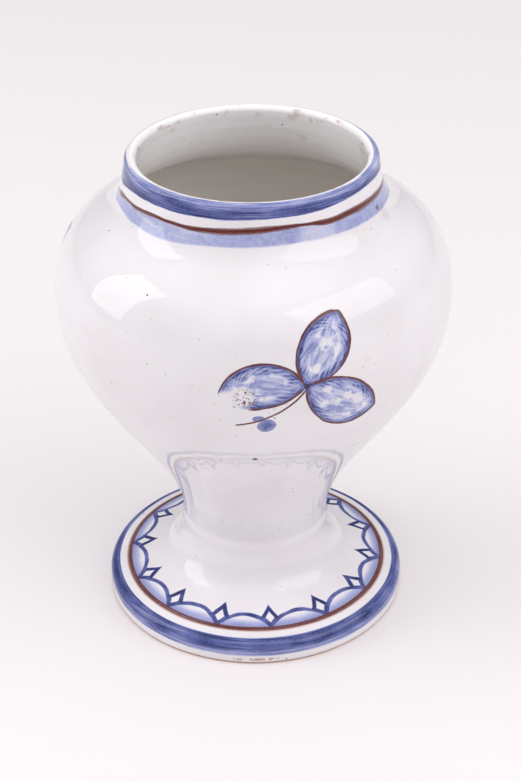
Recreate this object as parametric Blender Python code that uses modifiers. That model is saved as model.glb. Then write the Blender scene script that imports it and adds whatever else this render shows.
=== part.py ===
"""Glazed earthenware apothecary jar: a baluster body on a spreading foot.

The jar stands on Z = 0 with its turning axis on +Z.  It was thrown on a wheel in four
sections (foot, bowl, shoulder and neck collar), which were luted to each other with rings
of slip while they were leather hard.  Units are metres.
"""

import math

import bpy

# ---------------------------------------------------------------- driving dimensions

# heights of the sections, each measured from the joint below it
FOOT_HEIGHT = 0.0424
BOWL_HEIGHT = 0.1194
SHOULDER_HEIGHT = 0.0394
COLLAR_HEIGHT = 0.0278

# outer radii
FOOT_RADIUS = 0.0718
WAIST_RADIUS = 0.0347
BELLY_RADIUS = 0.0901
COLLAR_SEAT_RADIUS = 0.0696
RIM_RADIUS = 0.0550

# walls of the thrown sections
FOOT_WALL = 0.0060
BODY_WALL = 0.0055
COLLAR_WALL = 0.0052
FLOOR_THICKNESS = 0.0075
FLOOR_ROUND = 0.0050

# foot disc: a rounded edge, a coned top, and a flat ring that the jar rests on
FOOT_EDGE_HEIGHT = 0.0118
FOOT_EDGE_ROUND = 0.0042
FOOT_HEEL_ROUND = 0.0016
FOOT_TOP_SLOPE = 0.28
FOOT_RING_WIDTH = 0.0085
FOOT_FLARE_WIDTH = 0.0124
FOOT_FLARE_REACH = 0.0070
FOOT_STEM_REACH = 0.0124

# bowl and shoulder curves
BOWL_SWELL = 0.925
SHOULDER_UPRIGHT_REACH = 0.0258
SHOULDER_CROWN_REACH = 0.0094
SHOULDER_CROWN_SLOPE = 0.46

# collar curve and lip
COLLAR_FLARE_REACH = 0.0084
COLLAR_NECK_REACH = 0.0150
COLLAR_TAPER = 0.12
LIP_ROUND = 0.0024

# luted joints
SLIP_THICKNESS = 0.0010
SPIGOT_DEPTH = 0.0030
FIT_CLEARANCE = 0.0003

# facets around the axis, and points along each curve
SEGMENTS = 48
FLARE_POINTS = 7
BOWL_POINTS = 12
SHOULDER_POINTS = 8
COLLAR_POINTS = 8
ROUND_POINTS = 4

# ---------------------------------------------------------------- derived heights

WAIST_LEVEL = FOOT_HEIGHT
BELLY_LEVEL = WAIST_LEVEL + BOWL_HEIGHT
SEAT_LEVEL = BELLY_LEVEL + SHOULDER_HEIGHT
RIM_LEVEL = SEAT_LEVEL + COLLAR_HEIGHT
HALF_JOINT = SLIP_THICKNESS / 2 + FIT_CLEARANCE
SHARP_ANGLE = math.radians(50)


# ---------------------------------------------------------------- curves, as (radius, z)

def bezier(start, leave, arrive, end, count):
    """Points along one cubic curve, both ends included."""
    points = []
    for index in range(count + 1):
        t = index / count
        weights = ((1 - t) ** 3, 3 * t * (1 - t) ** 2, 3 * t * t * (1 - t), t ** 3)
        radius = sum(w * p[0] for w, p in zip(weights, (start, leave, arrive, end)))
        level = sum(w * p[1] for w, p in zip(weights, (start, leave, arrive, end)))
        points.append((radius, level))
    return points


def arc(centre, radius, first, last, count):
    """Points along a round, from one angle to another, both ends included."""
    points = []
    for index in range(count + 1):
        angle = first + (last - first) * index / count
        points.append((centre[0] + radius * math.cos(angle), centre[1] + radius * math.sin(angle)))
    return points


def normals(points):
    """Unit normal at each point of a curve that climbs, pointing away from the axis."""
    result = []
    for index in range(len(points)):
        before = points[max(index - 1, 0)]
        after = points[min(index + 1, len(points) - 1)]
        run = after[0] - before[0]
        rise = after[1] - before[1]
        length = math.hypot(run, rise)
        result.append((rise / length, -run / length))
    return result


def inset(points, wall):
    """The inner face of a wall whose outer face climbs through the points."""
    return [(p[0] - wall * n[0], p[1] - wall * n[1]) for p, n in zip(points, normals(points))]


def level_at(points, radius):
    """Height of a curve where its first stretch passes a radius."""
    share = (points[0][0] - radius) / (points[0][0] - points[1][0])
    return points[0][1] + (points[1][1] - points[0][1]) * share


def joint_face(joint, offset):
    """Outer and inner edge of a face across the wall, at a distance along a joint's direction."""
    point, direction, wall = joint
    outer = (point[0] + direction[0] * offset, point[1] + direction[1] * offset)
    inner = (outer[0] - direction[1] * wall, outer[1] + direction[0] * wall)
    return outer, inner


# Each joint: where the outer face crosses it, the direction that the wall climbs in, its wall.
CROWN_LENGTH = math.hypot(1.0, SHOULDER_CROWN_SLOPE)
WAIST_JOINT = ((WAIST_RADIUS, WAIST_LEVEL), (0.0, 1.0), FOOT_WALL)
BELLY_JOINT = ((BELLY_RADIUS, BELLY_LEVEL), (0.0, 1.0), BODY_WALL)
SEAT_JOINT = ((COLLAR_SEAT_RADIUS, SEAT_LEVEL),
              (-1.0 / CROWN_LENGTH, SHOULDER_CROWN_SLOPE / CROWN_LENGTH), BODY_WALL)


def foot_top_curve():
    """Outer face of the foot above its edge: the coned top, then the flare up to the waist."""
    edge = (FOOT_RADIUS - FOOT_EDGE_ROUND, FOOT_EDGE_HEIGHT)
    cone_end_radius = WAIST_RADIUS + FOOT_FLARE_WIDTH
    cone_end = (cone_end_radius, edge[1] + (edge[0] - cone_end_radius) * FOOT_TOP_SLOPE)
    leave = (cone_end[0] - FOOT_FLARE_REACH, cone_end[1] + FOOT_FLARE_REACH * FOOT_TOP_SLOPE)
    waist = (WAIST_RADIUS, WAIST_LEVEL)
    arrive = (WAIST_RADIUS, WAIST_LEVEL - FOOT_STEM_REACH)
    return [edge] + bezier(cone_end, leave, arrive, waist, FLARE_POINTS)


def bowl_curve():
    """Outer face of the bowl, swelling from the waist to the belly."""
    points = []
    for index in range(BOWL_POINTS + 1):
        t = index / BOWL_POINTS
        swell = (1 - math.cos(math.pi * t ** BOWL_SWELL)) / 2
        points.append((WAIST_RADIUS + (BELLY_RADIUS - WAIST_RADIUS) * swell,
                       WAIST_LEVEL + BOWL_HEIGHT * t))
    return points


def shoulder_curve():
    """Outer face of the shoulder, from upright at the belly to the low crown slope."""
    belly = (BELLY_RADIUS, BELLY_LEVEL)
    leave = (BELLY_RADIUS, BELLY_LEVEL + SHOULDER_UPRIGHT_REACH)
    seat = (COLLAR_SEAT_RADIUS, SEAT_LEVEL)
    arrive = (seat[0] + SHOULDER_CROWN_REACH, seat[1] - SHOULDER_CROWN_REACH * SHOULDER_CROWN_SLOPE)
    return bezier(belly, leave, arrive, seat, SHOULDER_POINTS)


def collar_curve():
    """Outer face of the collar, from the crown slope up to the lip."""
    seat = (COLLAR_SEAT_RADIUS, SEAT_LEVEL)
    leave = (seat[0] - COLLAR_FLARE_REACH, seat[1] + COLLAR_FLARE_REACH * SHOULDER_CROWN_SLOPE)
    lip = (RIM_RADIUS, RIM_LEVEL - LIP_ROUND)
    arrive = (lip[0] + COLLAR_NECK_REACH * COLLAR_TAPER, lip[1] - COLLAR_NECK_REACH)
    return bezier(seat, leave, arrive, lip, COLLAR_POINTS)


# ---------------------------------------------------------------- scene helpers

def clear_scene():
    for leftover in list(bpy.data.objects):
        bpy.data.objects.remove(leftover, do_unlink=True)


def finish(name, colour, roughness):
    """One Principled finish; every section is a ceramic, so none is metallic."""
    material = bpy.data.materials.new(name)
    material.use_nodes = True
    shader = material.node_tree.nodes["Principled BSDF"]
    shader.inputs["Base Color"].default_value = (*colour, 1.0)
    shader.inputs["Roughness"].default_value = roughness
    shader.inputs["Metallic"].default_value = 0.0
    material.diffuse_color = (*colour, 1.0)
    return material


def turn(name, profile, closed, material, collection):
    """Turn a profile about Z.  It runs down its outer side and back up its inner side."""
    mesh = bpy.data.meshes.new(name)
    edges = [(index, index + 1) for index in range(len(profile) - 1)]
    if closed:
        edges.append((len(profile) - 1, 0))
    mesh.from_pydata([(radius, 0.0, level) for radius, level in profile], edges, [])
    mesh.materials.append(material)
    turned = bpy.data.objects.new(name, mesh)
    collection.objects.link(turned)
    screw = turned.modifiers.new("turning", 'SCREW')
    screw.axis = 'Z'
    screw.steps = SEGMENTS
    screw.render_steps = SEGMENTS
    screw.use_merge_vertices = True
    screw.merge_threshold = 0.00001
    bpy.context.view_layer.update()
    baked = bpy.data.meshes.new_from_object(turned.evaluated_get(bpy.context.evaluated_depsgraph_get()))
    baked.name = name
    turned.modifiers.clear()
    turned.data = baked
    bpy.data.meshes.remove(mesh)
    baked.shade_smooth()
    baked.set_sharp_from_angle(angle=SHARP_ANGLE)
    return turned


# ---------------------------------------------------------------- the thrown sections

def make_foot(collection, glaze):
    """Hollow spreading foot: socket at the waist, flat resting ring at the bottom."""
    top = foot_top_curve()
    underside = inset(top, FOOT_WALL)
    socket_outer, socket_inner = joint_face(WAIST_JOINT, -HALF_JOINT)
    edge_radius = FOOT_RADIUS - FOOT_EDGE_ROUND
    upper_round = arc((edge_radius, FOOT_EDGE_HEIGHT - FOOT_EDGE_ROUND), FOOT_EDGE_ROUND,
                      math.pi / 2, 0.0, ROUND_POINTS)
    heel_round = arc((FOOT_RADIUS - FOOT_HEEL_ROUND, FOOT_HEEL_ROUND), FOOT_HEEL_ROUND,
                     0.0, -math.pi / 2, ROUND_POINTS)
    ring_inner = FOOT_RADIUS - FOOT_HEEL_ROUND - FOOT_RING_WIDTH
    outline = [socket_outer] + top[-2::-1] + upper_round[1:] + heel_round
    outline += [(ring_inner, 0.0), (ring_inner, level_at(underside, ring_inner))]
    outline += underside[1:-1] + [socket_inner]
    return turn("foot", outline, True, glaze, collection)


def make_bowl(collection, glaze):
    """Lower half of the body, with a floor and a short spigot that sits in the foot's socket."""
    curve = bowl_curve()
    base_outer, socket_inner = joint_face(WAIST_JOINT, HALF_JOINT)
    rim_outer, rim_inner = joint_face(BELLY_JOINT, -HALF_JOINT)
    floor_level = WAIST_LEVEL + FLOOR_THICKNESS
    wall_foot = floor_level + FLOOR_ROUND / 2
    inner = [point for point in inset(curve, BODY_WALL)[1:-1] if point[1] > wall_foot] + [rim_inner]
    outer = [base_outer] + curve[1:-1] + [rim_outer]
    spigot_radius = socket_inner[0] - FIT_CLEARANCE
    spigot_level = base_outer[1] - SPIGOT_DEPTH
    outline = [(0.0, floor_level), (inner[0][0] - FLOOR_ROUND, floor_level)]
    outline += inner + outer[::-1]
    outline += [(spigot_radius, base_outer[1]), (spigot_radius, spigot_level), (0.0, spigot_level)]
    return turn("bowl", outline, False, glaze, collection)


def make_shoulder(collection, glaze):
    """Upper half of the body, closing in from the belly to the collar's seat."""
    curve = shoulder_curve()
    base_outer, base_inner = joint_face(BELLY_JOINT, HALF_JOINT)
    seat_outer, seat_inner = joint_face(SEAT_JOINT, -HALF_JOINT)
    outline = [base_inner] + inset(curve, BODY_WALL)[1:-1] + [seat_inner]
    outline += [seat_outer] + curve[-2:0:-1] + [base_outer]
    return turn("shoulder", outline, True, glaze, collection)


def make_neck_collar(collection, glaze):
    """Short wide neck that flares out of the shoulder and ends in a rounded lip."""
    curve = collar_curve()
    base_outer, base_inner = joint_face(SEAT_JOINT, HALF_JOINT)
    inner = inset(curve, COLLAR_WALL)
    lip_level = RIM_LEVEL - LIP_ROUND
    inner_round = arc((inner[-1][0] + LIP_ROUND, lip_level), LIP_ROUND,
                      math.pi, math.pi / 2, ROUND_POINTS)
    outer_round = arc((RIM_RADIUS - LIP_ROUND, lip_level), LIP_ROUND,
                      math.pi / 2, 0.0, ROUND_POINTS)
    outline = [base_inner] + inner[1:-1] + inner_round
    outline += outer_round + curve[-2:0:-1] + [base_outer]
    return turn("neck_collar", outline, True, glaze, collection)


# ---------------------------------------------------------------- the slip joints

def make_slip_ring(name, joint, collection, slip):
    """Fired slip between two sections: it fills their joint, less the clearance on each face."""
    top_outer, top_inner = joint_face(joint, SLIP_THICKNESS / 2)
    bottom_outer, bottom_inner = joint_face(joint, -SLIP_THICKNESS / 2)
    return turn(name, [top_outer, bottom_outer, bottom_inner, top_inner], True, slip, collection)


def make_jar():
    clear_scene()
    collection = bpy.data.collections.new("apothecary_jar")
    bpy.context.scene.collection.children.link(collection)
    foot_glaze = finish("banded_foot_glaze", (0.74, 0.73, 0.82), 0.20)
    bowl_glaze = finish("white_tin_glaze", (0.83, 0.81, 0.85), 0.18)
    shoulder_glaze = finish("washed_shoulder_glaze", (0.80, 0.78, 0.84), 0.18)
    collar_glaze = finish("cobalt_collar_glaze", (0.62, 0.64, 0.80), 0.20)
    slip = finish("fired_slip", (0.58, 0.38, 0.29), 0.85)

    make_foot(collection, foot_glaze)
    make_bowl(collection, bowl_glaze)
    make_shoulder(collection, shoulder_glaze)
    make_neck_collar(collection, collar_glaze)
    make_slip_ring("waist_slip_joint", WAIST_JOINT, collection, slip)
    make_slip_ring("belly_slip_joint", BELLY_JOINT, collection, slip)
    make_slip_ring("neck_slip_joint", SEAT_JOINT, collection, slip)


make_jar()
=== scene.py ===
# %% [markdown]
# # A footed apothecary jar in painted tin glaze
#
# The real jar is earthenware, thrown on a wheel in four sections. A spreading foot, a bowl, a
# shoulder and a neck collar were stuck to each other with slip, dipped in a white glaze and
# painted by hand in cobalt blue and manganese brown. This lesson gives the four walls their
# smooth thrown shape, then builds each painted finish from formulas. The packed model is loaded
# first, and it is the fixed frame that every piece is measured from.

# %% Load the fixed frame
import math

import bmesh
import bpy
import numpy as np
from mathutils import Matrix, Vector


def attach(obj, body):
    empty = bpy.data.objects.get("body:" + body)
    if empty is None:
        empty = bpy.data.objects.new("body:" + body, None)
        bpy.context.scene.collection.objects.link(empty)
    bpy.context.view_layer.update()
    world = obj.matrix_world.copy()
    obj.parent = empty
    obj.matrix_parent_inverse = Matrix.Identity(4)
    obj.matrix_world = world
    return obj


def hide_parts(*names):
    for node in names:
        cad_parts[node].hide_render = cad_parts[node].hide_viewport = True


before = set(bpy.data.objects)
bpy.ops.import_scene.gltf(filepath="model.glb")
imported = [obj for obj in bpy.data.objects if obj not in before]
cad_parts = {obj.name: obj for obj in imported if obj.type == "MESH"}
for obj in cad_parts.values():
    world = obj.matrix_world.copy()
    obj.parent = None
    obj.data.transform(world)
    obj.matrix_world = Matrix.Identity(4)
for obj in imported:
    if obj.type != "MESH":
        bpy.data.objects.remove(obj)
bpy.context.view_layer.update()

MM = 0.001

# %% [markdown]
# ## Camera
#
# The jar is seen as someone standing at its table sees it: from about four jar heights away and
# looking down at a third of a right angle, so that the mouth reads as an oval and the foot's
# border shows all round. A long lens keeps the oval calm. The camera leans by a fraction of a
# degree, as a hand-set one does.

# %% Place the camera
CAMERA_PLACE = (0.0028, -0.7473, 0.5626)
CAMERA_TILT = math.radians(90 - 31.41)
CAMERA_LEAN = math.radians(-0.29)
CAMERA_LENS = 85.6

camera_data = bpy.data.cameras.new("camera")
camera_data.lens = CAMERA_LENS
camera = bpy.data.objects.new("camera", camera_data)
bpy.context.scene.collection.objects.link(camera)
camera.matrix_world = (Matrix.Translation(CAMERA_PLACE) @ Matrix.Rotation(CAMERA_TILT, 4, "X")
                       @ Matrix.Rotation(CAMERA_LEAN, 4, "Z"))
bpy.context.scene.camera = camera
print("camera stands", round(Vector(CAMERA_PLACE).length, 3), "m from the foot's centre")

# %% [markdown]
# ## Floor
#
# A glossy glaze shows whatever is round it, so the room matters as much as the lamps. Here it is
# a white tent, and its floor is wide enough to reach the horizon from any side.

# %% Lay the floor
FLOOR_SIZE = 60.0
FLOOR_COLOUR = (0.87, 0.84, 0.846)
FLOOR_ROUGHNESS = 0.65
FLOOR_SHINE = 0.2
bpy.ops.mesh.primitive_plane_add(size=FLOOR_SIZE, location=(0, 0, 0))
floor = bpy.context.active_object
floor.name = "floor"
floor_finish = bpy.data.materials.new("pale_floor")
floor_finish.use_nodes = True
floor_shader = floor_finish.node_tree.nodes["Principled BSDF"]
floor_shader.inputs["Base Color"].default_value = (*FLOOR_COLOUR, 1)
floor_shader.inputs["Roughness"].default_value = FLOOR_ROUGHNESS
floor_shader.inputs["Specular IOR Level"].default_value = FLOOR_SHINE
floor.data.materials.append(floor_finish)
print("floor, m:", FLOOR_SIZE)

# %% [markdown]
# ## Surround
#
# The white surround is brightest almost straight overhead and fades towards the horizon, so that
# light falls into the mouth. Its strength comes from how closely a direction points the bright
# way.

# %% Light the tent
LIGHT_COLOUR = (1.0, 0.985, 0.99)
SURROUND_LEAST = 0.30
SURROUND_MORE = 1.10
SURROUND_FADE = 2.0
BRIGHTEST_WAY = (0, -0.16, 0.987)

surround = bpy.data.worlds.new("white_tent")
surround.use_nodes = True
surround.node_tree.nodes["Background"].inputs["Color"].default_value = (*LIGHT_COLOUR, 1)
sky = surround.node_tree
towards = sky.nodes.new("ShaderNodeVectorMath")
towards.operation = "DOT_PRODUCT"
sky.links.new(sky.nodes.new("ShaderNodeTexCoord").outputs["Object"], towards.inputs[0])
towards.inputs[1].default_value = BRIGHTEST_WAY
before = towards.outputs["Value"]
for operation, *amounts in (("MAXIMUM", 0.0), ("POWER", SURROUND_FADE),
                            ("MULTIPLY_ADD", SURROUND_MORE, SURROUND_LEAST)):
    step = sky.nodes.new("ShaderNodeMath")
    step.operation = operation
    sky.links.new(before, step.inputs[0])
    for plug, amount in zip(step.inputs[1:], amounts):
        plug.default_value = amount
    before = step.outputs[0]
sky.links.new(before, sky.nodes["Background"].inputs["Strength"])
bpy.context.scene.world = surround
bpy.context.scene.view_settings.view_transform = "Standard"
print("surround strength:", SURROUND_LEAST, "to", round(SURROUND_LEAST + SURROUND_MORE, 2))

# %% [markdown]
# ## Soft boxes
#
# Two large soft boxes hang on either side. Their reflections are the two pale windows on the
# shoulder, which tell the eye that the glaze is wet-looking and smooth.

# %% Hang the soft boxes
AIM_LEVEL = 0.15


def hang_softbox(name, azimuth, elevation, distance, width, height, power):
    """A soft box round the jar. Azimuth 0 is the front and 90 the right; it faces the shoulder."""
    data = bpy.data.lights.new(name, "AREA")
    data.shape = "RECTANGLE"
    data.size, data.size_y = width, height
    data.energy = power
    data.color = LIGHT_COLOUR
    box = bpy.data.objects.new(name, data)
    bpy.context.scene.collection.objects.link(box)
    turn, climb = math.radians(azimuth), math.radians(elevation)
    direction = Vector((math.sin(turn) * math.cos(climb), -math.cos(turn) * math.cos(climb),
                        math.sin(climb)))
    box.location = Vector((0, 0, AIM_LEVEL)) + direction * distance
    box.rotation_mode = "QUATERNION"
    box.rotation_quaternion = (-direction).to_track_quat("-Z", "Y")
    return box


softboxes = [hang_softbox("left_softbox", azimuth=-88, elevation=27, distance=1.3,
                          width=0.62, height=1.25, power=5.8),
             hang_softbox("right_softbox", azimuth=62, elevation=38, distance=1.4,
                          width=1.45, height=0.9, power=6.4)]
print("lights:", [box.name for box in softboxes])

# %% [markdown]
# ## The walls
#
# Each section is a wall of clay turned round one axis. The frame holds that wall in flat facets,
# which is right for fitting parts but shows as corners in a glossy glaze. So the section's
# outline is read from the frame and faired into a smooth curve, and the wall is then pulled up
# from a ring, the way a potter does it: extrude the ring a little, open or close it, and again.

# %% Read a wall's outline from the frame
SAME_RING = 0.02
NEAR_AXIS = 1


def wall_outline(node):
    """(radius, height) in mm of each ring of corners on a node, round its wall from the lowest."""
    mesh = bmesh.new()
    mesh.from_mesh(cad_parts[node].data)
    rings, ring_of = [], {}
    for corner in mesh.verts:
        here = (math.hypot(corner.co.x, corner.co.y) / MM, corner.co.z / MM)
        near = [i for i, ring in enumerate(rings) if math.dist(ring, here) < SAME_RING]
        if not near:
            rings.append(here)
        ring_of[corner.index] = near[0] if near else len(rings) - 1
    beside = {i: set() for i in range(len(rings))}
    for edge in mesh.edges:
        a, b = (ring_of[corner.index] for corner in edge.verts)
        if a != b:
            beside[a].add(b)
            beside[b].add(a)
    mesh.free()
    start = min((i for i in beside if rings[i][0] > NEAR_AXIS),
                key=lambda i: (round(rings[i][1], 1), -rings[i][0]))
    order = [start]
    while True:
        ahead = [i for i in beside[order[-1]] if i not in order and rings[i][0] > NEAR_AXIS]
        if not ahead:
            return [rings[i] for i in order]
        if len(order) == 1:
            ahead.sort(key=lambda i: rings[i][0] + rings[i][1], reverse=True)
        order.append(ahead[0])


outlines = {name: wall_outline(name) for name in ("foot", "bowl", "shoulder", "neck_collar")}
for name, outline in outlines.items():
    print(name, "has", len(outline), "rings, from", [round(v, 1) for v in outline[0]],
          "to", [round(v, 1) for v in outline[-1]])

# %% [markdown]
# The four outsides are one flowing curve from heel to lip, and so are the insides. Both are
# faired across the joints and only then cut into pieces there, so the light runs over a joint
# without a break. Fairing takes a heading at every corner, weighted towards the longer side, so
# that a straight stretch stays straight where it meets a tight round.

# %% Fair the corners into smooth curves
SAMPLE = 0.2


def unit(direction):
    return np.array(direction) / np.linalg.norm(direction)


def fair(points):
    """Dense samples of a smooth curve through the points, and the sample each point lies on."""
    points = np.array(points, float)
    legs = np.diff(points, axis=0)
    headings = [legs[0]] + [before + after for before, after in zip(legs, legs[1:])] + [legs[-1]]
    samples, marks = [points[0]], [0]
    for start, end, leave, arrive in zip(points, points[1:], headings, headings[1:]):
        length = np.linalg.norm(end - start)
        count = max(2, math.ceil(length / SAMPLE))
        for t in np.linspace(0, 1, count + 1)[1:]:
            bend = t * (1 - t) ** 2 * unit(leave) - t * t * (1 - t) * unit(arrive)
            samples.append((1 + 2 * t) * (1 - t) ** 2 * start + t * t * (3 - 2 * t) * end
                           + bend * length)
        marks.append(len(samples) - 1)
    return np.array(samples), marks


print("fairing samples the curve every", SAMPLE, "mm")

# %% [markdown]
# A joint's point lies halfway between the two walls that meet there, once on the outside and once
# on the inside. The waist's inner point is the edge of the foot's hole, which the bowl's spigot
# fills.

# %% Find the joints
LEAN_OUTWARD = 0.1
SPIGOT_CORNERS = range(2, 5)


def middle(a, b):
    return tuple((np.array(a) + np.array(b)) / 2)


def top_outer(outline):
    """The highest ring of an outline, and of two about as high the outer one."""
    return max(range(len(outline)), key=lambda i: outline[i][1] + LEAN_OUTWARD * outline[i][0])


foot, bowl = outlines["foot"], outlines["bowl"]
shoulder, collar = outlines["shoulder"], outlines["neck_collar"]
foot_top, bowl_rim = top_outer(foot), top_outer(bowl)
bowl_base = min(SPIGOT_CORNERS, key=lambda i: abs(bowl[i][0] - foot[foot_top][0]))
shoulder_top = max(range(len(shoulder)), key=lambda i: shoulder[i][1])

waist_outer = middle(foot[foot_top], bowl[bowl_base])
waist_inner = (foot[foot_top + 1][0], waist_outer[1])
belly_outer = middle(bowl[bowl_rim], shoulder[0])
belly_inner = middle(bowl[bowl_rim + 1], shoulder[-1])
seat_outer = middle(shoulder[shoulder_top], collar[1])
seat_inner = middle(shoulder[shoulder_top + 1], collar[0])
joints = (waist_outer, belly_outer, seat_outer, seat_inner, belly_inner)
print("joints, mm:", [tuple(round(v, 1) for v in point) for point in joints])

# %% [markdown]
# The potter's fingers left a soft ridge round the waist and shallow ripples up the inside. Both
# go into the one long curve before it is cut. The ripples die out towards the narrow floor.

# %% Join the outlines into one skin
RIDGE, RIDGE_LEVEL, RIDGE_WIDTH = 0.35, 39.0, 2.2
RIPPLE, RIPPLE_PITCH, RIPPLE_FADE = 0.12, 9.0, 30

skin_points = (foot[:foot_top + 1] + [waist_outer] + bowl[bowl_base:bowl_rim + 1] + [belly_outer]
               + shoulder[:shoulder_top + 1] + [seat_outer] + collar[1:] + [seat_inner]
               + shoulder[shoulder_top + 1:] + [belly_inner] + bowl[bowl_rim + 1:]
               + [(0, bowl[-1][1])])
skin, marks = fair(skin_points)
mark_of = {point: marks[skin_points.index(point)] for point in joints}
outer_end, inner_start = mark_of[seat_outer], mark_of[seat_inner]
skin[:outer_end, 0] += RIDGE * np.exp(-((skin[:outer_end, 1] - RIDGE_LEVEL) / RIDGE_WIDTH) ** 2)
skin[inner_start:, 0] += (RIPPLE * np.sin(skin[inner_start:, 1] * 2 * math.pi / RIPPLE_PITCH)
                          * np.clip(skin[inner_start:, 0] / RIPPLE_FADE - 1, 0, 1))
print("skin:", len(skin), "samples")

# %% [markdown]
# A wall needs rings only where its curve turns. They stand close together at the ends, so that
# the edge of a joint stays crisp, and as far apart as a finger's ripple allows along the
# straights.

# %% Choose where the rings go
WIDEST_GAP = 2.4
NARROWEST_GAP = 0.12
GAP_GROWTH = 0.5
MOST_TURN = math.radians(4)


def rings_along(curve):
    """Thin a dense curve to its rings: close at the ends and bends, wide where it runs straight."""
    legs = np.diff(curve, axis=0)
    travelled = np.concatenate([[0], np.cumsum(np.linalg.norm(legs, axis=1))])
    heading = np.unwrap(np.arctan2(legs[:, 1], legs[:, 0]))
    kept = [0]
    for i in range(1, len(curve) - 1):
        to_end = min(travelled[i], travelled[-1] - travelled[i])
        gap = min(WIDEST_GAP, NARROWEST_GAP + GAP_GROWTH * to_end)
        turned = abs(heading[i] - heading[kept[-1]])
        if travelled[i] - travelled[kept[-1]] >= gap or turned >= MOST_TURN:
            kept.append(i)
    return [tuple(curve[i]) for i in kept + [len(curve) - 1]]


def between(first, last):
    """The rings of the skin from one joint point to another."""
    start = mark_of[first] if first else 0
    end = mark_of[last] if last else len(skin) - 1
    return rings_along(skin[start:end + 1])


print("bowl's outside:", len(between(waist_outer, belly_outer)), "rings")

# %% [markdown]
# The end of each wall has a shallow groove. Potters score both faces and butter them with slip
# before they press them together; the fired slip then sits in the grooves as a thin hidden ring.

# %% Shape the end of a wall
GROOVE_EDGE = 0.7
GROOVE_DEPTH = 0.52


def scored_end(outer, inner, into):
    """Rings across the end of a wall, from outer to inner edge, with the groove for slip."""
    across = unit(np.subtract(inner, outer))
    first, last = outer + across * GROOVE_EDGE, inner - across * GROOVE_EDGE
    depth = np.array(into) * GROOVE_DEPTH
    return [tuple(point) for point in (first, first + depth, last + depth, last)]


seat_climb = unit(np.subtract(collar[1], shoulder[shoulder_top]))
walls = {
    "foot": (between(None, waist_outer) + scored_end(waist_outer, waist_inner, (0, -1))
             + rings_along(fair([waist_inner] + foot[foot_top + 1:-1])[0]) + [foot[-1], foot[0]]),
    "bowl": ([bowl[0], (bowl[0][0], waist_outer[1])]
             + scored_end(waist_outer, waist_inner, (0, 1))[::-1]
             + between(waist_outer, belly_outer)
             + scored_end(belly_outer, belly_inner, (0, -1)) + between(belly_inner, None)),
    "shoulder": (between(belly_outer, seat_outer) + scored_end(seat_outer, seat_inner, -seat_climb)
                 + between(seat_inner, belly_inner)
                 + scored_end(belly_outer, belly_inner, (0, 1))[::-1] + [belly_outer]),
    "neck_collar": (between(seat_outer, seat_inner)
                    + scored_end(seat_outer, seat_inner, seat_climb)[::-1] + [seat_outer]),
}
print("rings:", {name: len(rings) for name, rings in walls.items()})

# %% [markdown]
# Pulling up starts from one ring and extrudes it from level to level. The bowl ends at the axis,
# so its last ring is merged into one corner, and its spigot is closed with a single face. The
# other walls come back to the ring they started from and are joined to it.

# %% Pull up the walls
TURNS = 256
CREASE = math.radians(35)
JOINED = 1e-6


def deselect_all():
    if bpy.context.object and bpy.context.object.mode != "OBJECT":
        bpy.ops.object.mode_set(mode="OBJECT")
    bpy.ops.object.select_all(action="DESELECT")


def pull_up(name, rings):
    """Start from a ring and extrude it from level to level, opening or closing it at each one."""
    deselect_all()
    radius, level = rings[0]
    bpy.ops.mesh.primitive_circle_add(vertices=TURNS, radius=radius * MM,
                                      location=(0, 0, level * MM))
    wall = bpy.context.active_object
    wall.name = wall.data.name = name
    bpy.ops.object.mode_set(mode="EDIT")
    bpy.ops.mesh.select_all(action="SELECT")
    for (radius, level), (next_radius, next_level) in zip(rings, rings[1:]):
        if next_radius == 0:
            bpy.ops.mesh.merge(type="CENTER")
            break
        rise, opening = (next_level - level) * MM, next_radius / radius
        bpy.ops.mesh.extrude_edges_move(TRANSFORM_OT_translate={"value": (0, 0, rise)})
        bpy.ops.transform.resize(value=(opening, opening, 1),
                                 center_override=(0, 0, next_level * MM))
    bpy.ops.mesh.select_all(action="SELECT")
    bpy.ops.mesh.remove_doubles(threshold=JOINED)
    bpy.ops.mesh.select_all(action="DESELECT")
    bpy.ops.mesh.select_non_manifold()
    if wall.data.total_edge_sel:
        bpy.ops.mesh.edge_face_add()
    bpy.ops.mesh.select_all(action="SELECT")
    bpy.ops.mesh.normals_make_consistent(inside=False)
    bpy.ops.object.mode_set(mode="OBJECT")
    bpy.ops.object.transform_apply(location=True, rotation=False, scale=False)
    bpy.ops.object.shade_smooth_by_angle(angle=CREASE)
    print(name, len(wall.data.polygons), "faces")
    return wall


sections = {name: pull_up(name + "_wall", rings) for name, rings in walls.items()}

# %% [markdown]
# The slip that was squeezed into the grooves fired to hard clay and is what still holds the jar
# together. Each ring is pulled up in the same way as the walls, round its own small section.

# %% Lay the slip rings in the grooves
SLIP_INSET = 0.74
SLIP_HALF = 0.48
SLIP_ROUND = 0.14


def slip_section(outer, inner, along):
    """The closed section of a slip ring between the edges of a joint, its corners taken off."""
    across, along = unit(np.subtract(inner, outer)), unit(along)
    width = math.dist(outer, inner) - 2 * SLIP_INSET
    start = np.array(outer) + across * SLIP_INSET
    corners = [(SLIP_ROUND, -SLIP_HALF), (width - SLIP_ROUND, -SLIP_HALF),
               (width, SLIP_ROUND - SLIP_HALF), (width, SLIP_HALF - SLIP_ROUND),
               (width - SLIP_ROUND, SLIP_HALF), (SLIP_ROUND, SLIP_HALF),
               (0, SLIP_HALF - SLIP_ROUND), (0, SLIP_ROUND - SLIP_HALF)]
    return [tuple(start + across * u + along * v) for u, v in corners + corners[:1]]


slips = {"waist_slip_joint": slip_section(waist_outer, waist_inner, (0, 1)),
         "belly_slip_joint": slip_section(belly_outer, belly_inner, (0, 1)),
         "neck_slip_joint": slip_section(seat_outer, seat_inner, seat_climb)}
rings_of_slip = {name: pull_up(name + "_ring", section) for name, section in slips.items()}

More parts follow.
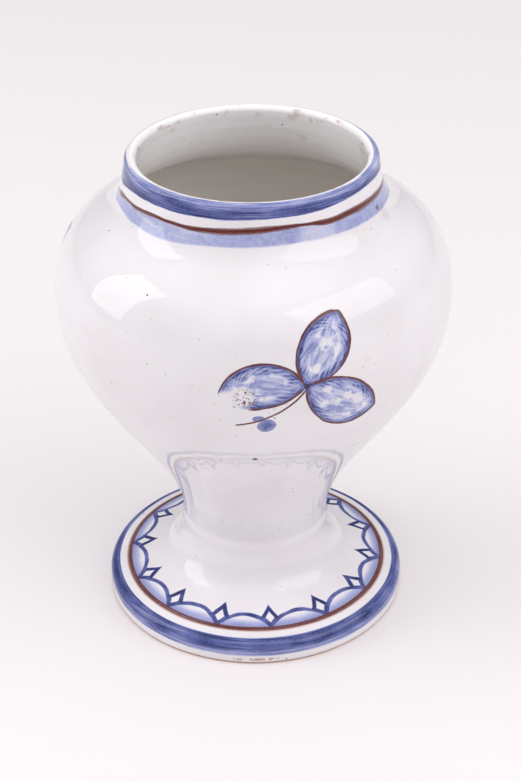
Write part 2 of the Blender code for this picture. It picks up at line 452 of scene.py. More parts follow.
# %% [markdown]
# Nothing thrown by hand is perfectly round. One slow, cloudy displacement in the jar's own
# coordinates moves every wall by about a tenth of a millimetre, and it moves both sides of a
# joint alike. The texture can't push any corner further than half the modifier's strength along
# any axis.

# %% Make the walls hand-thrown
HAND_SCALE = 0.06
HAND_AMOUNT = 0.0005
hand = bpy.data.textures.new("hand", "CLOUDS")
hand.noise_scale = HAND_SCALE
hand.cloud_type = "COLOR"
for piece in [*sections.values(), *rings_of_slip.values()]:
    deselect_all()
    piece.select_set(True)
    bpy.context.view_layer.objects.active = piece
    waver = piece.modifiers.new("waver", "DISPLACE")
    waver.texture = hand
    waver.texture_coords = "LOCAL"
    waver.direction = "RGB_TO_XYZ"
    waver.mid_level = 0.5
    waver.strength = HAND_AMOUNT
    bpy.ops.object.modifier_apply(modifier=waver.name)
print("no corner moved more than", HAND_AMOUNT / MM / 2, "mm along an axis")

# %% [markdown]
# The displacement left the foot's resting ring uneven, so it is ground flat to stand on: the
# corners of the ring are selected and their heights scaled to nothing.

# %% Grind the foot ring flat
RING_LEVEL = 0.0003


def select_corners(piece, wanted):
    """Leave the piece in edit mode with only the wanted corners selected."""
    deselect_all()
    piece.select_set(True)
    bpy.context.view_layer.objects.active = piece
    bpy.ops.object.mode_set(mode="EDIT")
    bpy.ops.mesh.select_mode(type="VERT")
    bpy.ops.mesh.select_all(action="DESELECT")
    bpy.ops.object.mode_set(mode="OBJECT")
    for corner in piece.data.vertices:
        corner.select = wanted(corner.co)
    bpy.ops.object.mode_set(mode="EDIT")


select_corners(sections["foot"], lambda place: place.z < RING_LEVEL)
bpy.ops.transform.resize(value=(1, 1, 0), center_override=(0, 0, 0))
bpy.ops.object.mode_set(mode="OBJECT")
print("foot stands at", min(corner.co.z for corner in sections["foot"].data.vertices))

# %% [markdown]
# The lip was lifted off the wheel a little oval. Its top is stretched sideways from a point right
# of the axis, with a soft reach, so the left of the lip moves out more than the right.

# %% Set the lip slightly oval
LIP_LEVEL = 0.222
LIP_STRETCH = 1.018
LIP_FIXED_POINT = (0.03, 0, 0.229)
LIP_REACH = 0.018
collar_wall = sections["neck_collar"]
select_corners(collar_wall, lambda place: place.z > LIP_LEVEL)
bpy.ops.transform.resize(value=(LIP_STRETCH, 1, 1), center_override=LIP_FIXED_POINT,
                         use_proportional_edit=True, proportional_edit_falloff="SMOOTH",
                         proportional_size=LIP_REACH)
bpy.ops.object.mode_set(mode="OBJECT")
across = [corner.co.x / MM for corner in collar_wall.data.vertices if corner.co.z > LIP_LEVEL]
print("lip, mm across:", round(min(across), 2), "to", round(max(across), 2))

# %% [markdown]
# ## The glaze formulas
#
# A painted finish is a formula: it asks where a point of clay is and answers with a colour.
# `Reading` is one number in that formula. Plus, minus and times between readings add the matching
# Math nodes, so the formula can be written as ordinary arithmetic.

# %% Write formulas as arithmetic
class Reading:
    """One number of a formula, known at every point of the surface."""

    def __init__(self, tree, socket):
        self.tree, self.socket = tree, socket

    def math(self, operation, *others):
        node = self.tree.nodes.new("ShaderNodeMath")
        node.operation = operation
        for plug, value in zip(node.inputs, (self, *others)):
            feed(self.tree, plug, value)
        return Reading(self.tree, node.outputs[0])

    def __add__(self, other):
        return self.math("ADD", other)

    def __sub__(self, other):
        return self.math("SUBTRACT", other)

    def __mul__(self, other):
        return self.math("MULTIPLY", other)

    def __truediv__(self, other):
        return self.math("DIVIDE", other)

    def __rsub__(self, other):
        return self * -1 + other

    __radd__, __rmul__ = __add__, __mul__

    def size(self):
        return self.math("ABSOLUTE")

    def least(self, other):
        return self.math("MINIMUM", other)

    def most(self, other):
        return self.math("MAXIMUM", other)

    def folded(self, half):
        """The same reading wrapped into minus half to half."""
        return self.math("WRAP", half, -half)

    def swing(self, amount):
        """Noise between 0 and 1, centred on zero and made this wide."""
        return (self - 0.5) * amount

    def rise(self, low, high):
        """0 below low, 1 above high and a smooth slope between; high below low turns it round."""
        node = self.tree.nodes.new("ShaderNodeMapRange")
        node.interpolation_type = "SMOOTHSTEP"
        feed(self.tree, node.inputs["Value"], self)
        feed(self.tree, node.inputs["From Min"], low)
        feed(self.tree, node.inputs["From Max"], high)
        return Reading(self.tree, node.outputs["Result"])

    def stroke(self, width, soft=0.25):
        """1 within half a width of zero: a brush line where this reading is a distance."""
        return self.size().rise(width / 2 + soft, width / 2 - soft)

    def over(self, edge, soft=0.25):
        """1 where this reading is above the edge, which may itself be a reading."""
        return (self - edge).rise(-soft, soft)


def feed(tree, plug, value):
    """Lead a reading into a socket, or set the socket to a plain number."""
    if isinstance(value, Reading):
        tree.links.new(value.socket, plug)
    else:
        plug.default_value = value


def apart(u, v, centre):
    """How far the point (u, v) lies from a centre."""
    du, dv = u - centre[0], v - centre[1]
    return (du * du + dv * dv).math("SQRT")


print("a reading can be:", [name for name in vars(Reading) if not name.startswith("_")])

# %% [markdown]
# `Glaze` is one piece's material while it is being painted. It starts with the readings that all
# the painting needs: how far round the jar a point is, how far from the axis and how high. The
# angle is 0 at the front and 90 on the right.

# %% Set up a glaze to paint on
DEGREE = math.pi / 180
OUTSIDE_FADE = (-0.04, 0.08)
STREAK_TURNS = 60
DOT_CORE = 0.6


class Glaze:
    """One material: where each point of it lies, and how much of each paint it carries."""

    def __init__(self, name):
        self.material = bpy.data.materials.new(name)
        self.material.use_nodes = True
        self.tree = self.material.node_tree
        self.shader = self.tree.nodes["Principled BSDF"]
        place = self.tree.nodes.new("ShaderNodeTexCoord").outputs["Object"]
        in_mm = self.tree.nodes.new("ShaderNodeVectorMath")
        in_mm.operation = "SCALE"
        self.tree.links.new(place, in_mm.inputs[0])
        in_mm.inputs["Scale"].default_value = 1 / MM
        self.place = in_mm.outputs["Vector"]
        self.x, self.y, self.z = self.parts(self.place)
        self.r = (self.x * self.x + self.y * self.y).math("SQRT")
        self.turn = self.x.math("ARCTAN2", self.y * -1)
        self.angle = self.turn * (1 / DEGREE)
        nx, ny, self.up = self.parts(self.tree.nodes.new("ShaderNodeNewGeometry").outputs["Normal"])
        self.outside = ((nx * self.x + ny * self.y) / self.r).rise(*OUTSIDE_FADE)
        nothing = self.z * 0
        self.cobalt = self.brown = self.rust = nothing
        self.bare = self.relief = self.pits = nothing

    def parts(self, vector):
        split = self.tree.nodes.new("ShaderNodeSeparateXYZ")
        self.tree.links.new(vector, split.inputs[0])
        return [Reading(self.tree, output) for output in split.outputs]

    def vector(self, *values):
        join = self.tree.nodes.new("ShaderNodeCombineXYZ")
        for plug, value in zip(join.inputs, values):
            feed(self.tree, plug, value)
        return join.outputs[0]

    def noise(self, grain, at=None, detail=2.0, rough=0.5, shift=0.0):
        """Cloudy noise from 0 to 1 with blotches about one grain wide."""
        node = self.tree.nodes.new("ShaderNodeTexNoise")
        node.noise_dimensions = "4D"
        self.tree.links.new(at or self.place, node.inputs["Vector"])
        node.inputs["W"].default_value = shift
        node.inputs["Scale"].default_value = 1 / grain
        node.inputs["Detail"].default_value = detail
        node.inputs["Roughness"].default_value = rough
        return Reading(self.tree, node.outputs["Fac"])

    def streaks(self, across, fine, long=12.0, shift=0.0, detail=2.0):
        """Noise drawn out round the jar, like bristle marks: fine mm across and long mm round."""
        round_jar = STREAK_TURNS / long
        at = self.vector(self.turn.math("SINE") * round_jar,
                         self.turn.math("COSINE") * round_jar, across / fine)
        return self.noise(1.0, at=at, shift=shift, detail=detail)

    def by_hand(self, points, low, high):
        """A line led round the jar through (angle, level) points, all between low and high."""
        node = self.tree.nodes.new("ShaderNodeFloatCurve")
        curve = node.mapping.curves[0]
        for i, (angle, level) in enumerate(points):
            place = (0.5 + angle / 360, (level - low) / (high - low))
            if i < len(curve.points):
                curve.points[i].location = place
            else:
                curve.points.new(*place)
        node.mapping.update()
        feed(self.tree, node.inputs["Value"], self.angle / 360 + 0.5)
        return Reading(self.tree, node.outputs[0]) * (high - low) + low

    def dots(self, cell, radius, shift=0.0):
        """1 in small dots scattered through the clay, about one per cell."""
        node = self.tree.nodes.new("ShaderNodeTexVoronoi")
        self.tree.links.new(self.vector(self.x + shift, self.y, self.z), node.inputs["Vector"])
        node.inputs["Scale"].default_value = 1 / cell
        return Reading(self.tree, node.outputs["Distance"]).rise(radius / cell,
                                                            DOT_CORE * radius / cell)

    def spot(self, angle, radius, level, size, soft=0.35):
        """1 inside a ball of this size at a place on the jar."""
        turn = angle * DEGREE
        dx, dy = self.x - radius * math.sin(turn), self.y + radius * math.cos(turn)
        dz = self.z - level
        away = (dx * dx + dy * dy + dz * dz).math("SQRT")
        return away.rise(size * (1 + soft), size * (1 - soft))

    def prick(self, *places):
        """Add a pit at each (angle, radius, level, size)."""
        for place in places:
            self.pits = self.pits.most(self.spot(*place))

    def mix(self, amount, under, on_top):
        node = self.tree.nodes.new("ShaderNodeMix")
        node.data_type = "RGBA"
        feed(self.tree, node.inputs[0], amount)
        for plug, colour in ((node.inputs[6], under), (node.inputs[7], on_top)):
            if isinstance(colour, tuple):
                plug.default_value = (*colour, 1)
            else:
                self.tree.links.new(colour, plug)
        return node.outputs[2]


print("a glaze can be:", [name for name in vars(Glaze) if not name.startswith("_")])

# %% [markdown]
# The last coat is the same everywhere. Inside the mouth the white is painted lighter, as painted
# light on the inner wall of the collar, and deeper inside the jar it is a shade warmer. Cobalt
# goes from pale wash to near-black with its thickness, manganese is brown, and both sink into the
# glaze, so they are as glossy as the white. Pinholes are painted near-black, as painted shade in
# their hollows, and they and bare clay are dull.

# %% Fire a glaze
WHITE = (0.84, 0.815, 0.85)
WHITE_WARM = (0.80, 0.77, 0.795)
# The next colour is painted light: a lighter white for the inner wall of the mouth.
MOUTH_PAINTED_LIGHT = (0.97, 0.955, 0.97)
WHITE_INSIDE = (0.87, 0.835, 0.79)
COBALT = [(0.0, (0.46, 0.49, 0.73)), (0.25, (0.29, 0.32, 0.58)), (0.5, (0.115, 0.142, 0.385)),
          (0.75, (0.026, 0.040, 0.18)), (1.0, (0.010, 0.014, 0.08))]
FIRST_BLUE = 0.22
MANGANESE = (0.12, 0.019, 0.014)
RUST = (0.42, 0.16, 0.09)
CLAY = (0.52, 0.30, 0.22)
# The next colour is painted shade: the near-black of a pit's hollow.
PIT_SHADE = (0.05, 0.025, 0.02)
MOUTH_BASE, MOUTH_FULL, INSIDE_FULL = 200, 204, 190
CRAZE_CELL, CRAZE_WIDTH, CRAZE_TINT = 22, 0.010, 0.05
PINHOLES = ((10.0, 0.5, 0.0), (5.5, 0.25, 3.0))
PIT_TINT, PIT_DEPTH, PIT_DULL = 0.88, 0.15, 0.4
BARE_DEPTH, BARE_DULL = 0.10, 0.6
GLOSS, GLOSS_WAVER = 0.02, 0.03
ORANGE_PEEL, TOOTH = 0.05, 0.002


def fire(glaze):
    """Turn the painted amounts into the glaze's colour, gloss and relief."""
    within = 1 - glaze.outside
    white = glaze.mix(glaze.noise(35).rise(0.35, 0.7), WHITE, WHITE_WARM)
    # Painted light: the inside of the collar above the mouth's base is painted a lighter white.
    white = glaze.mix(within * glaze.z.rise(MOUTH_BASE, MOUTH_FULL), white, MOUTH_PAINTED_LIGHT)
    white = glaze.mix(within * glaze.z.rise(MOUTH_FULL, INSIDE_FULL), white, WHITE_INSIDE)
    ramp = glaze.tree.nodes.new("ShaderNodeValToRGB")
    ramp.color_ramp.elements.remove(ramp.color_ramp.elements[1])
    stops = ramp.color_ramp.elements
    for i, (place, colour) in enumerate(COBALT):
        stop = stops.new(place) if i else stops[0]
        stop.position, stop.color = place, (*colour, 1)
    grain = glaze.noise(0.9, detail=3, rough=0.7)
    cobalt = glaze.cobalt.most(0) * (grain * 0.5 + 0.75)
    feed(glaze.tree, ramp.inputs["Fac"], (cobalt - FIRST_BLUE) / (1 - FIRST_BLUE))
    colour = glaze.mix((cobalt / FIRST_BLUE).least(1), white, ramp.outputs["Color"])
    colour = glaze.mix(glaze.rust.least(1), colour, RUST)
    colour = glaze.mix((glaze.brown * (grain * 0.4 + 0.8)).least(1), colour, MANGANESE)
    hair = glaze.tree.nodes.new("ShaderNodeTexVoronoi")
    hair.feature = "DISTANCE_TO_EDGE"
    hair.inputs["Scale"].default_value = 1 / CRAZE_CELL
    glaze.tree.links.new(glaze.place, hair.inputs["Vector"])
    craze = Reading(glaze.tree, hair.outputs["Distance"]).rise(CRAZE_WIDTH, 0.0)
    craze = craze * glaze.noise(18).rise(0.5, 0.62)
    colour = glaze.mix(craze * CRAZE_TINT, colour, RUST)
    colour = glaze.mix(glaze.bare, colour, CLAY)
    pits = glaze.pits
    for cell, radius, shift in PINHOLES:
        pits = pits.most(glaze.dots(cell, radius, shift))
    # Painted shade: pinholes and pits are mixed towards near-black for the shade in their hollows.
    colour = glaze.mix(pits * PIT_TINT, colour, PIT_SHADE)
    glaze.tree.links.new(colour, glaze.shader.inputs["Base Color"])
    feed(glaze.tree, glaze.shader.inputs["Roughness"],
         (glaze.noise(14) * GLOSS_WAVER + GLOSS
          + glaze.bare * BARE_DULL + pits * PIT_DULL).least(1))
    bump = glaze.tree.nodes.new("ShaderNodeBump")
    bump.inputs["Strength"].default_value = 1.0
    bump.inputs["Distance"].default_value = MM
    feed(glaze.tree, bump.inputs["Height"],
         glaze.noise(22, detail=1) * ORANGE_PEEL + glaze.noise(3.5) * TOOTH
         - pits * PIT_DEPTH - glaze.bare * BARE_DEPTH + glaze.relief)
    glaze.tree.links.new(bump.outputs["Normal"], glaze.shader.inputs["Normal"])
    return glaze.material


print("cobalt goes from", COBALT[0][1], "to", COBALT[-1][1])

# %% [markdown]
# ## The collar's bands
#
# The painter held a loaded brush against the turning jar: a cobalt band on the lip, a thin
# manganese line, then a pale wash in the hollow below. The hand was not steady, so each edge is a
# line led round through listed points.

# %% Lead the edges round the collar
COLLAR_LEVELS = (205, 230)
LIP_RADII = (50, 60)
collar_glaze = Glaze("collar_glaze")
g = collar_glaze
wash_low = g.by_hand([(-180, 209.6), (-130, 208.6), (-87, 208.7), (-72, 210.1), (-59, 209.7),
                      (-40, 209.5), (-21, 210.9), (-3, 211.6), (17, 212.0), (35, 211.8),
                      (54, 211.4), (66, 211.0), (78, 210.6), (95, 208.8), (140, 209.2),
                      (180, 209.6)], *COLLAR_LEVELS)
line_top = g.by_hand([(-180, 216.6), (-130, 214.8), (-88, 213.7), (-75, 216.2), (-64, 216.6),
                      (-48, 217.7), (-32, 217.6), (-18, 218.4), (-1, 219.4), (10, 219.7),
                      (20, 219.5), (30, 219.0), (36, 218.9), (47, 219.5), (65, 219.1),
                      (77, 218.6), (120, 217.6), (180, 216.6)], *COLLAR_LEVELS)
line_low = g.by_hand([(-180, 215.6), (-130, 214.0), (-82, 213.4), (-68, 215.6), (-56, 215.9),
                      (-47, 216.7), (-38, 216.7), (-30, 216.2), (-14, 216.2), (4, 217.2),
                      (14, 218.0), (23, 218.3), (33, 216.8), (49, 216.8), (69, 216.7),
                      (82, 216.9), (120, 216.4), (180, 215.6)], *COLLAR_LEVELS)
band_low = g.by_hand([(-180, 222.6), (-130, 219.8), (-87, 218.4), (-67, 221.0), (-56, 221.7),
                      (-35, 222.0), (-9, 222.4), (12, 222.9), (30, 223.3), (48, 224.3),
                      (58, 224.8), (70, 224.8), (85, 223.6), (130, 223.4),
                      (180, 222.6)], *COLLAR_LEVELS)
lip_edge = g.by_hand([(-180, 54.3), (-140, 54.9), (-105, 55.8), (-85, 55.4), (-64, 54.5),
                      (-45, 53.6), (-11, 52.9), (0, 52.6), (40, 52.6), (75, 52.6), (110, 53.0),
                      (135, 53.9), (160, 54.3), (180, 54.3)], *LIP_RADII)
print("collar, edges:", len(g.tree.nodes), "nodes")

# %% [markdown]
# The bristles leave long streaks in the thick blue. The wash is thinner or thicker as the brush
# was loaded. The band stops on top of the lip, and near there it is scraped thin in places.

# %% Fill the wash and the band
level = g.z + g.streaks(g.z, 1.6, 9, shift=1.0).swing(0.9)
bristle = g.streaks(g.z, 0.55, 26, shift=2.0)
broad = g.streaks(g.z, 3.0, 18, shift=5.0)
left = g.angle.rise(-15, -60)
right = g.angle.rise(20, 62)
wash = level.over(wash_low, 0.55) * (1 - level.over(line_low, 0.35))
pale_run = broad.rise(0.50, 0.66) * (left * 0.5 + 0.35)
load = g.by_hand([(-180, 0.9), (-87, 0.85), (-62, 1.0), (-40, 0.8), (-18, 1.0), (2, 1.15),
                  (17, 1.2), (22, 0.6), (33, 0.55), (38, 1.05), (60, 1.2), (90, 1.1),
                  (180, 0.9)], 0, 2)
g.cobalt = wash * load * (0.29 + g.noise(2.2, detail=3).swing(0.30) - pale_run * 0.18) * g.outside
worn_edge = lip_edge + g.streaks(g.r, 2.0, 8, shift=7.0).swing(0.7)
band = level.over(band_low, 0.3) * g.r.over(worn_edge, 0.22)
band = band * g.z.rise(217, 219)
thick = 0.74 - g.z.rise(225.2, 228.4) * 0.28 + bristle.swing(0.85) + broad.swing(0.65)
scraped = (g.streaks(g.z, 0.45, 30, shift=9.0).rise(0.58, 0.66) * g.z.rise(224.2, 226.0)
           * (left * 0.8 + right * 0.6 + 0.25))
g.cobalt = g.cobalt.most(band * (thick - scraped * 0.55).most(0.10))
print("collar, in blue:", len(g.tree.nodes), "nodes")

# %% [markdown]
# The manganese line is darkest along its middle and has a rusty halo on the left. A drop of it and
# a faint rusty smudge lie below on the right. The rim and the inside of the mouth are stained.

# %% Draw the brown line and the wear
line = level.over(line_low - 0.2, 0.25) * (1 - level.over(line_top + 0.2, 0.25))
heart = (g.z - (line_low + line_top) * 0.5).stroke(1.3, 0.6)
g.brown = line * (0.78 + heart * 0.3 + bristle.swing(0.5)) * g.outside
g.rust = ((g.z - line_low).stroke(1.6, 0.8) * left * 0.25
          + g.spot(70, 60.6, 208.6, 3.4, 0.7) * 0.16) * g.outside
g.brown = g.brown.most(g.spot(66, 58.4, 212.8, 1.1, 0.5) * 0.8 * g.outside)
rim_wear = ((g.r - 50.6).stroke(1.5, 0.6) * g.z.rise(222, 225)
            * g.noise(6.5, detail=3, shift=4.0).rise(0.55, 0.68))
smear = ((1 - g.outside) * g.z.rise(206, 222)
         * g.noise(9.0, detail=4, rough=0.65, shift=8.0).rise(0.57, 0.74))
g.rust = g.rust.most(rim_wear * 0.6 + smear * 0.40)
g.relief = (band * 0.03 + (bristle - 0.5) * band * 0.05
            + (1 - g.outside) * (g.z * 1.1).math("SINE") * 0.03)
g.prick((-118, 50.4, 222.5, 0.7))
print("collar:", len(g.tree.nodes), "nodes")

# %% [markdown]
# ## The foot's border
#
# Fourteen arches stand on a brown line with a small diamond at each foot of an arch. Angle and
# radius are unrolled into a flat strip: folding the angle repeats one arch right round. The
# spacing is taken from a list, because the painter stepped it off by eye and no two arches are
# equally wide.

# %% Draw the arches and diamonds
ARCHES = 14
ARCH_WIDTH = 360 / ARCHES
BORDER_RADIUS = 61.3
BORDER_LINE = 62.3
ARCH_CENTRE, ARCH_RADIUS = (0, 70.9), 16.6
DIAMOND_TIP = 50.2
foot_glaze = Glaze("foot_glaze")
g = foot_glaze
stepped = g.by_hand([(-180, -7.242), (-150, -6.08), (-121.6, -5), (-96.3, -4), (-68.4, -3),
                     (-43.2, -2), (-17.3, -1), (6.8, 0), (32.9, 1), (58.9, 2), (84.1, 3),
                     (109.2, 4), (134.8, 5), (180, 6.758)], -8, 8)
lean = g.noise(9.0, shift=1.0).swing(2.2)
across = (stepped * ARCH_WIDTH + lean).folded(ARCH_WIDTH / 2)
reach = g.r + g.noise(7.0, shift=2.0).swing(1.6)
to_diamond = across.size() * (DEGREE * BORDER_RADIUS)
to_arch = (ARCH_WIDTH / 2 - across.size()) * (DEGREE * BORDER_RADIUS)
arch = apart(to_arch, reach, ARCH_CENTRE) - ARCH_RADIUS
lower_side = (BORDER_RADIUS - reach) * 0.683 - to_diamond * 0.730
upper_side = (reach - DIAMOND_TIP) * 0.555 - to_diamond * 0.832
diamond = lower_side.least(upper_side)
hand_weight = g.noise(5.0, shift=3.0)
on_top = g.up.rise(0.2, 0.5) * g.outside
arch_line = (arch.stroke(2.0, 0.28) * (1 - diamond.over(0.3)) * reach.rise(62.2, 61.4)
             * (0.70 + hand_weight.swing(0.5)))
diamond_line = ((diamond - 0.35).stroke(2.2, 0.28) * (0.72 + hand_weight.swing(0.6)
                + (upper_side - lower_side).rise(0.8, -0.8) * 0.14))
under_arch = (1 - arch.over(0)) * (1 - diamond.over(-0.2)) * reach.rise(62.4, 61.8)
graded = reach.rise(56.0, 61.2) * (0.42 + g.streaks(g.r, 2.4, 14, shift=6.0).swing(0.22))
border = arch_line.most(diamond_line).most(under_arch * graded)
border_brown = (g.r - BORDER_LINE).stroke(2.1, 0.28)
print("foot, border:", len(g.tree.nodes), "nodes")

# %% [markdown]
# The foot's rim carries one broad band of blue, drawn round its edge and palest along its lower
# side. Below it the glaze is chipped at the front, nicked here and there and wiped off the resting
# ring.

# %% Band the foot's edge and wear it
edge_top = g.r + g.streaks(g.r, 1.6, 18, shift=4.0).swing(0.8)
skirt = g.z + g.streaks(g.z, 1.6, 11, shift=5.0).swing(1.6)
bristle = g.streaks(g.z * 0.8 + g.r, 0.6, 30, shift=7.0)
broad = g.streaks(g.z * 0.8 + g.r, 2.6, 16, shift=8.0)
deep_band = skirt.rise(6.2, 9.0)
edge_band = edge_top.over(67.4, 0.35) * skirt.rise(4.3, 5.3)
edge_blue = (0.42 + deep_band * 0.30 + bristle.swing(0.8) + broad.swing(0.7)
             - g.r.rise(69.0, 67.2) * 0.08)
g.cobalt = (border * on_top).most(edge_band * edge_blue.most(0.2) * g.outside)
g.brown = border_brown * on_top * (0.95 + bristle.swing(0.5))
g.rust = (g.r - 63.5).stroke(0.9, 0.35) * on_top * 0.6
chips = (g.noise(2.4, detail=4, rough=0.65, shift=6.0).rise(0.50, 0.56)
         * (g.z - 2.7).stroke(1.5, 0.5) * g.angle.stroke(17, 4))
nicks = g.noise(1.5, detail=3, shift=9.0).rise(0.70, 0.73) * g.z.rise(5.0, 3.6)
unglazed = g.z.rise(1.5, 0.7) + (1 - g.outside) * g.z.rise(4.0, 2.5)
g.bare = chips.most(nicks).most(unglazed).least(1)
g.relief = edge_band * 0.02 + (bristle - 0.5) * edge_band * 0.03
g.prick((-100.6, 40.3, 22.9, 0.7), (37, 56.0, 15.4, 0.55))
print("foot:", len(g.tree.nodes), "nodes")

# %% [markdown]
# ## The sprig
#
# A leaf is where a few discs overlap: the distance in from the nearest disc's edge gives both the
# brown outline and the blue fill. The brush strokes fan from the stem to the tip, so they follow
# the angle under which a point sees those two ends, which stays the same along each outline.

# %% Draw a leaf
def leaf(g, u, v, discs, base, tip, shift, dryness):
    """Blue and brown amounts of one leaf."""
    depth = None
    for place_u, place_v, radius in discs:
        inward = radius - apart(u, v, (place_u, place_v))
        depth = inward if depth is None else depth.least(inward)
    bu, bv, tu, tv = base[0] - u, base[1] - v, tip[0] - u, tip[1] - v
    fan = (bv * tu - bu * tv).math("ARCTAN2", (bu * tu + bv * tv) * -1)
    along = (apart(u, v, base) / apart(u, v, tip)).math("LOGARITHM", math.e)
    fine = g.noise(1.0, at=g.vector(fan * 5.0, along * 0.9 - fan.size() * 0.6, shift), detail=2.0)
    comb = (along * 15 - depth * 3.6 + g.noise(5.0, shift=shift + 4.0) * 9).math("SINE")
    dabs = (comb.rise(0.0, 0.7) * depth.rise(0.8, 1.6) * depth.rise(6.5, 3.0)
            * along.size().rise(2.1, 1.4) * g.noise(4.0, shift=shift + 6.0).rise(0.38, 0.5))
    inside = depth.over(0, 0.2)
    near_edge = depth.rise(4.2, 0.6)
    patch = depth.rise(2.4, 5.2) * g.noise(5.0, detail=3, shift=shift + 0.7).rise(0.44, 0.60)
    patch = patch.most(depth.rise(1.2, 3.0) * fine.rise(0.50, 0.62) * dryness)
    blue = (0.24 + near_edge * 0.14 + fine.rise(0.54, 0.42) * 0.20 + dabs * 0.30
            + (depth - 0.9).stroke(0.9, 0.5) * 0.20)
    blue = inside * (blue * (1 - patch * 0.92))
    weight = g.noise(6.0, shift=shift + 2.0)
    ink = (depth + 0.1).stroke(weight.rise(0.3, 0.7) * 0.6 + 0.65, 0.2)
    return blue, ink


LEAVES = {
    "upper": {"discs": [(4.5, 173.1, 17.6), (-7.1, 180.1, 17.8)],
              "base": (-8.8, 161.7), "tip": (6.1, 190.9), "shift": 1.0, "dryness": 0.35},
    "left": {"discs": [(-26.7, 155.3, 17.9), (-31.0, 179.3, 27.9)],
             "base": (-9.2, 161.5), "tip": (-42.1, 163.8), "shift": 2.0, "dryness": 0.2},
    "right": {"discs": [(0.6, 139.4, 24.2), (14.7, 159.5, 23.5), (10.0, 155.4, 19.9)],
              "base": (-8.8, 161.6), "tip": (24.2, 143.5), "shift": 3.0, "dryness": 0.5},
}
print("leaves:", {name: len(parts["discs"]) for name, parts in LEAVES.items()}, "discs")

# %% [markdown]
# The sprig is drawn flat, turned to face its own direction, and repeated three times round the
# body, a little unevenly as it was spaced by eye. It runs across the joint at the belly, so the
# bowl and the shoulder get the same drawing. Near its tip the left leaf has lost its blue.

# %% Paint the sprig on the bowl and the shoulder
SPRIGS = 3


def paint_sprig(g):
    """The same drawing on both walls, because it runs across the joint at the belly."""
    even = g.by_hand([(-180, -202.2), (-121, -144), (-97, -120), (-73, -96), (-10, -30), (5, -15),
                      (20, 0), (35, 15), (50, 30), (110, 90), (140, 120), (170, 150),
                      (180, 157.8)], -210, 160)
    facing = even.folded(180 / SPRIGS) * DEGREE
    u = g.r * facing.math("SINE") + g.noise(7.0, shift=1.0).swing(0.9)
    v = g.z + g.noise(7.0, shift=2.0).swing(0.9)
    upper, upper_ink = leaf(g, u, v, **LEAVES["upper"])
    left, left_ink = leaf(g, u, v, **LEAVES["left"])
    right, right_ink = leaf(g, u, v, **LEAVES["right"])
    left_ink = left_ink * (1 - u.rise(-31.0, -33.5) * v.rise(160.5, 158.0))
    lost = apart(u, v, (-35.5, 157.3)).rise(6.6, 3.4)
    lost = lost.most(u.rise(-30.5, -36.5) * v.rise(162.5, 158.5))
    lost = lost * g.noise(3.4, detail=3, shift=6.0).rise(0.30, 0.42)
    left = left * (1 - lost)
    stem = apart(u, v, (-45.9, 186.5)) - 45.4
    on_stem = u.rise(-37.2, -36.6) * u.rise(-8.8, -9.4) * v.rise(162, 160.5)
    stem_gap = apart(u, v, (-23.4, 150.4)).rise(3.2, 2.2) * g.noise(1.8, shift=5.0).rise(0.42, 0.52)
    stem_ink = stem.stroke(0.95, 0.2) * on_stem * (1 - stem_gap)
    small = apart((u + 28.3) / 2.4, (v - 146.0) / 1.7, (0, 0))
    large = apart((u + 24.6) / 3.8, (v - 141.6) / 3.9, (0, 0))
    berries = small.rise(1.08, 0.9).most(large.rise(1.06, 0.92))
    berry_blue = berries * (0.50 + g.noise(2.0, shift=7.0).swing(0.5)
                            + large.stroke(1.1, 0.3) * 0.14)
    heart = apart(u, v, (-8.6, 161.4)).rise(5.0, 0.8)
    ink = upper_ink.most(left_ink).most(right_ink).most(stem_ink)
    speckle = g.noise(0.85, detail=4, rough=0.7, shift=4.0).rise(0.53, 0.58)
    flecks = speckle * (apart(u, v, (-34.0, 157.2)).rise(6.4, 3.0)
                        .most(apart(u, v, (-23.6, 150.6)).rise(3.0, 1.5) * 0.5))
    scratch = (g.noise(1.1, detail=3, shift=8.0).rise(0.57, 0.63)
               * apart(u, v * 0.6, (17.5, 100.6)).rise(4.2, 2.0))
    front = g.angle.rise(-45, -40) * g.angle.rise(85, 80)
    g.cobalt = upper.most(left).most(right).most(berry_blue).most(ink * heart)
    g.cobalt = g.cobalt.most(apart(u, v, (-8.9, 161.4)).rise(1.9, 0.9)) * g.outside
    g.brown = (ink * (1 - heart.rise(0.3, 0.8) * 0.8)).most(flecks * front * 0.95) * g.outside
    g.rust = scratch * front * 0.14 * g.outside
    g.relief = ink * g.outside * 0.02


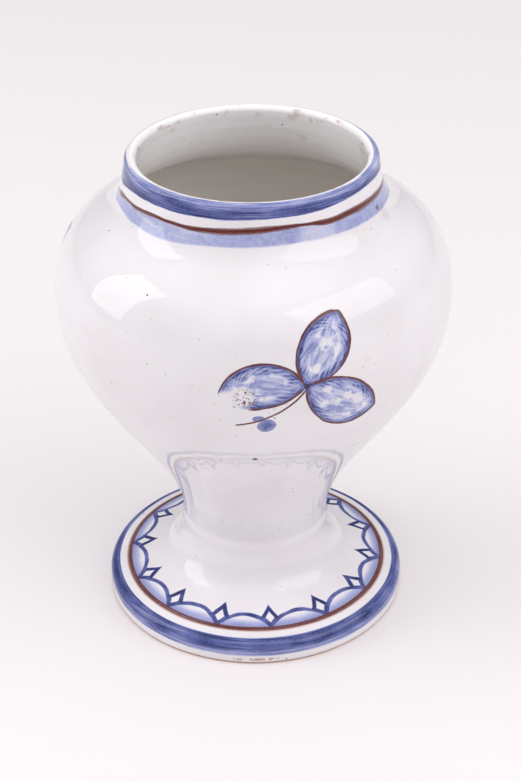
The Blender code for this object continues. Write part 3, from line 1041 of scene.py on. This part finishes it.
bowl_glaze, shoulder_glaze = Glaze("bowl_glaze"), Glaze("shoulder_glaze")
for g in (bowl_glaze, shoulder_glaze):
    paint_sprig(g)
    print(g.material.name, len(g.tree.nodes), "nodes")

# %% [markdown]
# Three pits stand on the bowl. The glaze has drawn up into a low swelling round the two upper
# ones.

# %% Prick the bowl's pits
LARGE_PIT, BESIDE_IT, LOW_PIT = (0.2, 74.6, 116.9), (-11.5, 72.8, 114.0), (19.3, 52.0, 84.0)
SWELLING = 0.05
g = bowl_glaze
g.prick((*LARGE_PIT, 1.15), (*BESIDE_IT, 0.4), (*LOW_PIT, 0.4))
g.relief = g.relief + (g.spot(*LARGE_PIT, 5.0, 0.9) + g.spot(*BESIDE_IT, 4.0, 0.9)) * SWELLING
print("bowl:", len(g.tree.nodes), "nodes")

# %% [markdown]
# The slip is plain fired clay and needs no painting: a pinkish buff with a fine grain.

# %% Mix the fired slip
SLIP_DARK, SLIP_PALE = (0.42, 0.24, 0.17), (0.60, 0.38, 0.28)
SLIP_ROUGHNESS = 0.85
slip = Glaze("fired_slip")
grain = slip.noise(1.2, detail=4, rough=0.65)
slip.tree.links.new(slip.mix(grain, SLIP_DARK, SLIP_PALE), slip.shader.inputs["Base Color"])
slip.shader.inputs["Roughness"].default_value = SLIP_ROUGHNESS
print("slip:", len(slip.tree.nodes), "nodes")

# %% [markdown]
# Every wall and ring gets its finish here. Nothing on the jar moves, so each rides the one body.
# The piece of the frame that each one stands for is hidden.

# %% Glaze the pieces and hide the frame's parts they stand for
finishes = {"foot": foot_glaze, "bowl": bowl_glaze,
            "shoulder": shoulder_glaze, "neck_collar": collar_glaze}
for name, wall in sections.items():
    wall.data.materials.append(fire(finishes[name]))
    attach(wall, "root")
    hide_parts(name)
for name, ring in rings_of_slip.items():
    ring.data.materials.append(slip.material)
    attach(ring, "root")
    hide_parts(name)
print("pieces:", [piece.name for piece in [*sections.values(), *rings_of_slip.values()]])

# %% [markdown]
# The new pieces grow beyond the frame by about a tenth of a millimetre at most.
